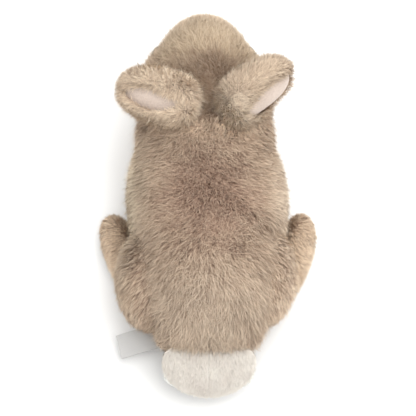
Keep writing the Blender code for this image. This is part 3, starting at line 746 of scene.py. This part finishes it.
def buildPaw(label, limb, soleNode, side, name):
    tilt = Vector((-side * 0.35, 0, 1)).normalized()  # the sole's white shows more on the outer side
    seamPoint = Vector((side * limb["size"][0], 0, soleSeam + 0.001))
    body, count, seed = label + "_", limb["count"], limb["seed"] + side
    topPile = {"count": count, "length": 0.0062, "lift": (62, 34),
               "comb": steady(side * 0.7, 0.5, -0.2)}
    solePile = {"count": count // 2, "length": 0.0026, "lift": (74, 60),
                "comb": steady(side * 0.5, 0.3, 0)}
    mesh = limbForm(limb, side, 0.0022)
    trim(mesh, seamPoint, -tilt)
    piece = furPiece(body + "fur_" + name, mesh, topPile, limbFur, seed, 0.0008)
    standFor(piece, body + name, [body + "cover_" + name, body + "stuffing_" + name])
    mesh = limbForm(limb, side, 0.0016)
    trim(mesh, seamPoint, tilt)
    piece = furPiece(body + "sole_plush_" + name, mesh, solePile, whitePlush, seed + 5, 0.0008)
    standFor(piece, body + name, [soleNode + name])


def buildLimbs():
    for side, name in ((1, "left"), (-1, "right")):
        buildHaunch(side, name)
        buildPaw("foot", foot, "foot_sole_", side, name)
        buildPaw("foreleg", foreleg, "paw_sole_", side, name)


buildLimbs()
print("limbs furred")


ears = {
    "left": {"root": (0.0100, 0.186, 0.1050), "tip": (0.92, -0.33, -0.04), "cup": (0.04, 0.74, 0.67),
             "halfHeight": 0.0158, "halfDepth": 0.0115, "slit": 0.0080, "slitStart": 0.10,
             "slitEnd": 0.96, "hook": 2.6, "low": 1, "rim": 1.0},
    "right": {"root": (-0.0120, 0.1825, 0.1040), "tip": (-0.80, -0.57, 0.09), "cup": (-0.42, 0.85, 0.32),
              "halfHeight": 0.0190, "halfDepth": 0.0130, "slit": 0.0110, "slitStart": 0.16,
              "slitEnd": 1.03, "hook": 0.0, "low": -1, "rim": 2.1},
}
ear = {"length": 0.0535, "lip": 0.0022, "liningDepth": 0.0014, "tuckUnder": 0.22}


def earFrame(settings, along):
    # centre line, the ways the hollow faces and runs across, the half sizes and the slit's edges as turns
    tipWay = Vector(settings["tip"]).normalized()
    cupWay = Vector(settings["cup"])
    cupWay = (cupWay - tipWay * cupWay.dot(tipWay)).normalized()
    upWay = cupWay.cross(tipWay)
    if along < 0.4:
        leaf = (1 - ((0.4 - along) / 0.402) ** 3.2) ** 0.4
    else:
        leaf = max(1 - ((along - 0.4) / 0.6) ** 2.5, 0.004) ** 0.4
    span = min(max((along - settings["slitStart"]) / (settings["slitEnd"] - settings["slitStart"]), 0.0), 1.0)
    slit = settings["slit"] * math.sin(math.pi * span) ** 0.5
    high, deep = settings["halfHeight"] * leaf, settings["halfDepth"] * leaf
    gap = math.asin(min(slit / high, 0.95))
    wide = min(gap * settings["rim"], 1.7)
    edges = (wide, gap) if settings["low"] > 0 else (gap, wide)
    centre = spot(*settings["root"]) + tipWay * ear["length"] * along + Vector((0, 0, -0.004)) * along**2
    # the slit turns down by the root
    hook = Matrix.Rotation(settings["hook"] * max(0.5 - along, 0.0) ** 2, 3, tipWay)
    cupWay, upWay = hook @ cupWay, hook @ upWay
    return centre, cupWay, upWay, high, deep, edges


def earGrid(place):
    mesh = bmesh.new()
    bmesh.ops.create_grid(mesh, x_segments=44, y_segments=44, size=1.0)
    for vert in mesh.verts:
        vert.co = place(vert.co.x, (vert.co.y + 1) / 2)
    bmesh.ops.recalc_face_normals(mesh, faces=mesh.faces)
    mesh.normal_update()
    return mesh


def turnFrom(mesh, point):
    # open sheets: their faces look away from this point
    away = sum((face.calc_center_median() - point).dot(face.normal) * face.calc_area()
               for face in mesh.faces)
    if away < 0:
        bmesh.ops.reverse_faces(mesh, faces=mesh.faces)
        mesh.normal_update()


def earBack(settings):
    # a plump pod with its slit along the side that the hollow faces
    def place(across, part):
        centre, cupWay, upWay, high, deep, edges = earFrame(settings, math.sin(part * math.pi / 2))
        turn = math.pi - across * (math.pi - (edges[1] if across < 0 else edges[0]))
        tuck = ear["lip"] * max(abs(across) - 0.9, 0.0) / 0.1
        return centre + cupWay * (deep * math.cos(turn) - tuck) + upWay * high * math.sin(turn)

    mesh = earGrid(place)
    turnFrom(mesh, earFrame(settings, 0.5)[0])
    return mesh


def earHollow(settings):
    # the velour dish just inside the slit
    first, last = settings["slitStart"] - 0.08, min(settings["slitEnd"] - 0.02, 0.985)

    def place(across, part):
        along = first + (last - first) * part
        centre, cupWay, upWay, high, deep, edges = earFrame(settings, along)
        tuck = ear["tuckUnder"] * (1 + 5 * max(0.4 - along, 0.0))  # further under the fur by the root
        start, end = -edges[1] - tuck, edges[0] + tuck
        turn = start + (end - start) * (across + 1) / 2
        sunk = 1 - ear["liningDepth"] / deep * (1.3 - across**2 * 0.5)
        return centre + (cupWay * deep * math.cos(turn) + upWay * high * math.sin(turn)) * max(sunk, 0.4)

    mesh = earGrid(place)
    turnFrom(mesh, earFrame(settings, 0.5)[0] - earFrame(settings, 0.5)[1] * 0.05)
    return mesh


def buildEars():
    for name, seed in (("left", 71), ("right", 72)):
        settings = ears[name]
        cupWay = earFrame(settings, 0.5)[1]
        tipWay = Vector(settings["tip"]).normalized()
        earPile = {"count": 34000, "length": 0.0076, "lift": (68, 44),
                   "comb": steady(*(tipWay * 0.7 + cupWay * 0.25)), "stray": 0.4, "fray": 0.8,
                   "gather": 0.10, "tuft": 12}
        piece = furPiece("ear_fur_" + name, earBack(settings), earPile, earFur, seed, 0.0010)
        standFor(piece, "ear_" + name, ["ear_back_" + name])
        mesh = earHollow(settings)
        addWall(mesh, 0.0010)
        piece = smoothPiece("ear_velour_" + name, mesh, earVelour)
        standFor(piece, "ear_" + name, ["ear_lining_" + name])


buildEars()
print("ears made")


tail = {"root": (0.0280, 0.0500), "halfWidth": 0.0312, "halfLength": 0.0216, "halfDepth": 0.0090,
        "droop": math.radians(50)}


def combTail(points):
    # down the tail, parted along its centre seam
    x = points[:, 0]
    parting = np.sign(x) * np.exp(-((x / 0.0014) ** 2)) * 0.25
    down = np.full(len(x), math.cos(tail["droop"])), np.full(len(x), -math.sin(tail["droop"]))
    return np.stack([parting, *down], 1)


def buildTail():
    root = spot(0, *tail["root"])
    hang = Vector((0, math.cos(tail["droop"]), -math.sin(tail["droop"])))
    tilt = Matrix.Rotation(math.radians(90) - tail["droop"], 4, "X")
    pose = Matrix.Translation(root + hang * (tail["halfLength"] * 0.93)) @ tilt
    centre = root + hang * tail["halfLength"]
    facing = tilt.to_3x3() @ Vector((0, 1, 0))
    faces = (("tail_plush_outer", 1, "tail_outer", 81), ("tail_plush_inner", -1, "tail_inner", 82))
    for name, sense, node, seed in faces:
        mesh = ball((1, 1, 1), (0, 0, 0), 56, 40)
        for vert in mesh.verts:
            slim = 1 - 0.42 * ((1 + vert.co.z) / 2) ** 2
            groove = 1 - 0.10 * math.exp(-((vert.co.x / 0.035) ** 2))  # the centre seam pulls in
            rise = max(vert.co.z, 0.0)
            square = (1 - rise**3.5) ** 0.2857 / (1 - rise**2) ** 0.5 if rise < 0.99 else 1.0
            vert.co = (vert.co.x * square * tail["halfWidth"] * (1 + 0.13 * vert.co.z),
                       vert.co.y * tail["halfDepth"] * slim * groove, vert.co.z * tail["halfLength"])
        mesh.transform(pose)
        faceOut(mesh)
        settle(mesh, 0.0012)
        trim(mesh, centre, -facing * sense)
        tailPile = {"count": 26000, "length": 0.0040, "lift": (70, 50),
                    "comb": combTail, "stray": 0.15, "sparkle": 0.2}
        piece = furPiece(name, mesh, tailPile, whitePlush, seed, 0.0008)
        standFor(piece, "tail", [node])


buildTail()
print("tail made")


def joinInto(mesh, part):
    data = bpy.data.meshes.new("part")
    part.to_mesh(data)
    part.free()
    mesh.from_mesh(data)
    bpy.data.meshes.remove(data)


hem = {"near": 0.0003, "far": 0.0045, "wall": 0.0038, "stitches": 46, "stitch": (0.0013, 0.00035, 0.00035)}
handLining = {"depth": 0.0054, "roof": 0.0600, "front": 0.141, "wall": 0.0010, "flat": (0.300, 0.170)}


def hemPoint(turn, shift, depth):
    # where the body form meets a plane beside the opening
    angles, (point, way) = rowAngles(torsoRows), openingPlane(shift)
    low, high = 0.0, math.pi * 0.55
    for _ in range(30):
        middle = (low + high) / 2
        if (formPoint(torsoRows, angles, middle, turn) - point).dot(way) > 0:
            low = middle
        else:
            high = middle
    here, step = formPoint(torsoRows, angles, low, turn), 0.02
    forward = formPoint(torsoRows, angles, low + step, turn) - here
    around = formPoint(torsoRows, angles, low, turn + step) - formPoint(torsoRows, angles, low, turn - step)
    around -= way * around.dot(way)
    normal = forward.cross(around).normalized()
    if normal.dot(here - spot(0, 0.050, 0.030)) < 0:
        normal.negate()
    return here - normal * depth, normal, around.normalized()


def buildOpening():
    mesh = roundForm(torsoRows, 112, 120, 0.0012)
    for shift, sense in ((hem["near"], 1), (hem["far"], -1)):
        point, way = openingPlane(-shift)
        trim(mesh, point, way * sense)
    addWall(mesh, hem["wall"])
    rims = [edge for edge in mesh.edges if edge.calc_face_angle(0.0) > 0.7]
    bmesh.ops.bevel(mesh, geom=rims, offset=0.0011, segments=3, profile=0.5, affect="EDGES", material=-1)
    binding = smoothPiece("hem_binding", mesh, liningCloth)
    mesh = bmesh.new()
    for i in range(hem["stitches"]):
        place, normal, around = hemPoint(math.tau * (i + 0.5) / hem["stitches"], -0.0025, 0.0010)
        stitch = ball(hem["stitch"], (0, 0, 0), 8, 6)
        axes = Matrix((around, normal.cross(around), normal)).transposed().to_4x4()
        stitch.transform(Matrix.Translation(place) @ axes)
        joinInto(mesh, stitch)
    stitching = smoothPiece("hem_stitching", mesh, threadCream)
    standFor(binding, "torso", ["opening_hem"])
    standFor(stitching, "torso", [])

    mesh = roundForm(torsoRows, 96, 72, handLining["depth"])
    point, way = openingPlane(-hem["far"])
    trim(mesh, point, way)
    trim(mesh, spot(0, handLining["front"], 0), (0, -1, 0))
    for vert in mesh.verts:
        vert.co.z = min(vert.co.z, handLining["roof"])
    mesh.normal_update()
    wrinkles = drift(np.array([vert.co for vert in mesh.verts]), 0.012, 91)
    for vert, shake in zip(mesh.verts, wrinkles):
        vert.co -= vert.normal * 0.0006 * (1 + float(shake[0]))
    area = sum(face.calc_area() for face in mesh.faces)
    mesh.normal_update()
    addWall(mesh, handLining["wall"])
    piece = smoothPiece("hand_cloth", mesh, liningCloth)
    standFor(piece, "torso", ["hand_lining"])


label = {"root": (0.0335, 0.0450, 0.0190), "length": 0.0335, "width": 0.0176, "gap": 0.0007, "wall": 0.0003,
         "droop": math.radians(11), "yaw": math.radians(14)}


def buildLabel():
    # one ribbon, out from the seam, folded over and back
    mesh = bmesh.new()
    bmesh.ops.create_grid(mesh, x_segments=90, y_segments=14, size=1.0)
    run, gap = label["length"] - label["gap"], label["gap"]
    total = 2 * run + math.pi * gap
    for vert in mesh.verts:
        way, across = (vert.co.x + 1) / 2 * total, vert.co.y * label["width"] / 2
        if way < run:
            x, z = way, gap
        elif way < run + math.pi * gap:
            angle = (way - run) / gap
            x, z = run + gap * math.sin(angle), gap * math.cos(angle)
        else:
            x, z = total - way, -gap
        wave = 0.0007 * math.sin(x / label["length"] * 4.2 + across * 60) * x / label["length"]
        vert.co = (x, across, z + wave)
    mesh.normal_update()
    addWall(mesh, label["wall"])
    turned = Matrix.Rotation(label["yaw"], 4, "Z") @ Matrix.Rotation(label["droop"], 4, "Y")
    mesh.transform(Matrix.Translation(spot(*label["root"])) @ turned)
    piece = smoothPiece("label_ribbon", mesh, ribbonWeave)
    standFor(piece, "label", ["ribbon_label"])


mouth = {"halfSpan": 0.0080, "height": 0.0425, "rise": 0.0022, "stitches": 14, "thread": 0.00055}
nose = {"halfWidth": 0.0050, "halfHeight": 0.0034, "threads": 17, "lift": 0.0024, "thread": 0.00044}


def onMuzzle(tree, x, z, lift):
    hit, normal, _, _ = tree.ray_cast(Vector((x, -0.25, z)), Vector((0, 1, 0)))
    return hit + normal * lift


def layThread(mesh, start, end, thread):
    # one stitch: a slim rounded bar on the surface
    along = end - start
    stitch = ball((thread, thread, along.length * 0.56), (0, 0, 0), 8, 8)
    stitch.transform(towards((start + end) / 2, along))
    joinInto(mesh, stitch)


def buildFace():
    for side, name in ((1, "left"), (-1, "right")):
        here, normal = eyeSeats[side]
        mesh = ball((eye["radius"], eye["radius"], eye["height"]), (0, 0, 0), 40, 28)
        for vert in mesh.verts:
            if vert.co.z < 0:
                vert.co.z *= 0.45  # flat behind, with a thin rim
        mesh.transform(towards(here + normal * 0.0002, normal))
        piece = smoothPiece("eye_dome_" + name, mesh, eyePlastic)
        standFor(piece, "head", ["eye_" + name])

    form = roundForm(headRows, 64, 44, 0.0024)
    tree = BVHTree.FromBMesh(form)
    form.free()
    here, normal = noseSeat
    upWay = normal.cross(Vector((1, 0, 0))).normalized()
    if upWay.z < 0:
        upWay.negate()
    mesh = bmesh.new()
    for i in range(nose["threads"]):
        t = 2 * i / (nose["threads"] - 1) - 1
        middle = here + Vector((1, 0, 0)) * t * nose["halfWidth"] + normal * (nose["lift"] - 0.0016 * t * t)
        half = nose["halfHeight"] * (1 - 0.72 * abs(t) ** 1.3)
        top = middle + upWay * nose["halfHeight"] * (1 - 0.35 * t * t)
        layThread(mesh, top - upWay * 2 * half, top, nose["thread"])
    padding = ball((nose["halfWidth"] * 0.9, nose["halfHeight"] * 0.8, 0.0012), (0, 0, 0), 24, 16)
    padding.transform(towards(here + normal * (nose["lift"] - 0.0014), normal))
    joinInto(mesh, padding)
    piece = smoothPiece("nose_stitches", mesh, threadBrown)
    standFor(piece, "head", ["nose"])

    mesh = bmesh.new()
    count, halfSpan = mouth["stitches"], mouth["halfSpan"]
    points = []
    for i in range(count + 1):
        x = halfSpan * (2 * i / count - 1)
        points.append((x, mouth["height"] + mouth["rise"] * math.cos(abs(x) / halfSpan * math.pi)))
    points = [onMuzzle(tree, x, z, 0.0019) for x, z in points]
    line = [onMuzzle(tree, 0, mouth["height"] + mouth["rise"] + 0.0032 * i, 0.0019) for i in range(5)]
    for row in (points, line):
        for start, end in zip(row, row[1:]):
            layThread(mesh, start, end, mouth["thread"])
    piece = smoothPiece("mouth_stitches", mesh, threadBrown)
    standFor(piece, "head", ["mouth_stitch"])


buildOpening()
buildLabel()
buildFace()
print("opening, label and face made")


def buildStage():
    bpy.ops.mesh.primitive_plane_add(size=6.0, location=(0, 0, -0.0005))
    floor = bpy.context.object
    floor.name = "floor"
    material, tree, shader, place = newMaterial("paleFloor", 0.9, Specular_IOR_Level=0.1)
    speck = noise(tree, place["Object"], 3.0)
    tree.links.new(blendColours(tree, speck, colour(0.97, 0.97, 0.965), colour(0.98, 0.98, 0.975)),
                   shader.inputs["Base Color"])
    floor.data.materials.append(material)

    world = bpy.data.worlds.new("studio")
    bpy.context.scene.world = world
    world.use_nodes = True
    world.node_tree.nodes["Background"].inputs[0].default_value = (1.0, 1.0, 1.0, 1.0)
    world.node_tree.nodes["Background"].inputs[1].default_value = 0.95
    lamps = (("key", (-0.25, 0.15, 1.4), 1.0, 12.0), ("fill", (-0.45, -0.6, 1.0), 1.2, 5.0))
    for name, place, size, power in lamps:
        light = bpy.data.lights.new(name, "AREA")
        light.size, light.energy = size, power
        lamp = bpy.data.objects.new(name, light)
        bpy.context.scene.collection.objects.link(lamp)
        lamp.location = place
        lamp.rotation_euler = (-Vector(place)).to_track_quat("-Z", "Y").to_euler()

    lens, elevation, span, target = 135.0, math.radians(70), 0.2995, Vector((0.0007, 0.0087, 0.050))
    camera = bpy.data.cameras.new("camera")
    camera.lens, camera.sensor_width = lens, 36.0
    view = bpy.data.objects.new("camera", camera)
    bpy.context.scene.collection.objects.link(view)
    back = Vector((0, math.cos(elevation), math.sin(elevation)))
    view.location = target + back * (span / camera.sensor_width * lens)
    view.rotation_euler = (-back).to_track_quat("-Z", "Y").to_euler()
    bpy.context.scene.camera = view
    bpy.context.scene.view_settings.view_transform = "Standard"


buildStage()

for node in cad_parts.values():
    if not node.hide_render:
        node.data.materials.clear()
        inside = fibreFill if "stuffing" in node.name else liningCloth
        node.data.materials.append(washerPlastic if "washer" in node.name else inside)
